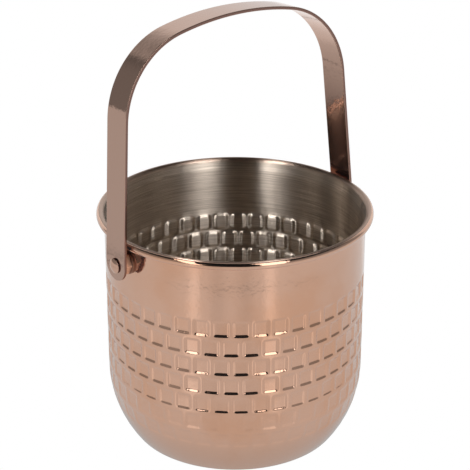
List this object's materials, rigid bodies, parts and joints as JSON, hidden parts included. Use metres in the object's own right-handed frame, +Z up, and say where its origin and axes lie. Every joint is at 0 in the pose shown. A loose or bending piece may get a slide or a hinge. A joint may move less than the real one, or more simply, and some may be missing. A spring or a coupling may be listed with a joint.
{
  "type": "ice bucket",
  "caption": "Cylindrical metal ice bucket with a rolled rim, a curved-in foot and a flat strap handle that swings on side pivots.",
  "frame": {"origin": "middle of the base's underside, where the bucket stands", "axes": "+Z up, along the bucket's axis; X along the line of the two handle pivots; the handle leans slightly towards +Y at rest"},
  "size_m": [0.1508, 0.14, 0.2247],
  "materials": {
    "shell_copper": "polished copper plate on steel",
    "inner_steel": "steel brushed round the inside",
    "strap_copper": "polished copper plate on steel strip",
    "hardware_copper": "polished copper plate",
    "collar_copper": "dulled copper plate beside the joint"
  },
  "bodies": {
    "bucket": {"bucket_shell": "shell_copper", "collar_left": "collar_copper", "collar_right": "collar_copper", "spacer_left": "hardware_copper", "spacer_right": "hardware_copper", "pivot_screw_left": "hardware_copper", "pivot_screw_right": "hardware_copper"},
    "handle": {"handle_strap": "strap_copper"}
  },
  "joints": [
    {"name": "handle_swing", "type": "hinge", "parent": "bucket", "child": "handle", "pos_m": [0, 0, 0.1108], "axis": [1, 0, 0], "range_deg": [-138, 143]}
  ]
}
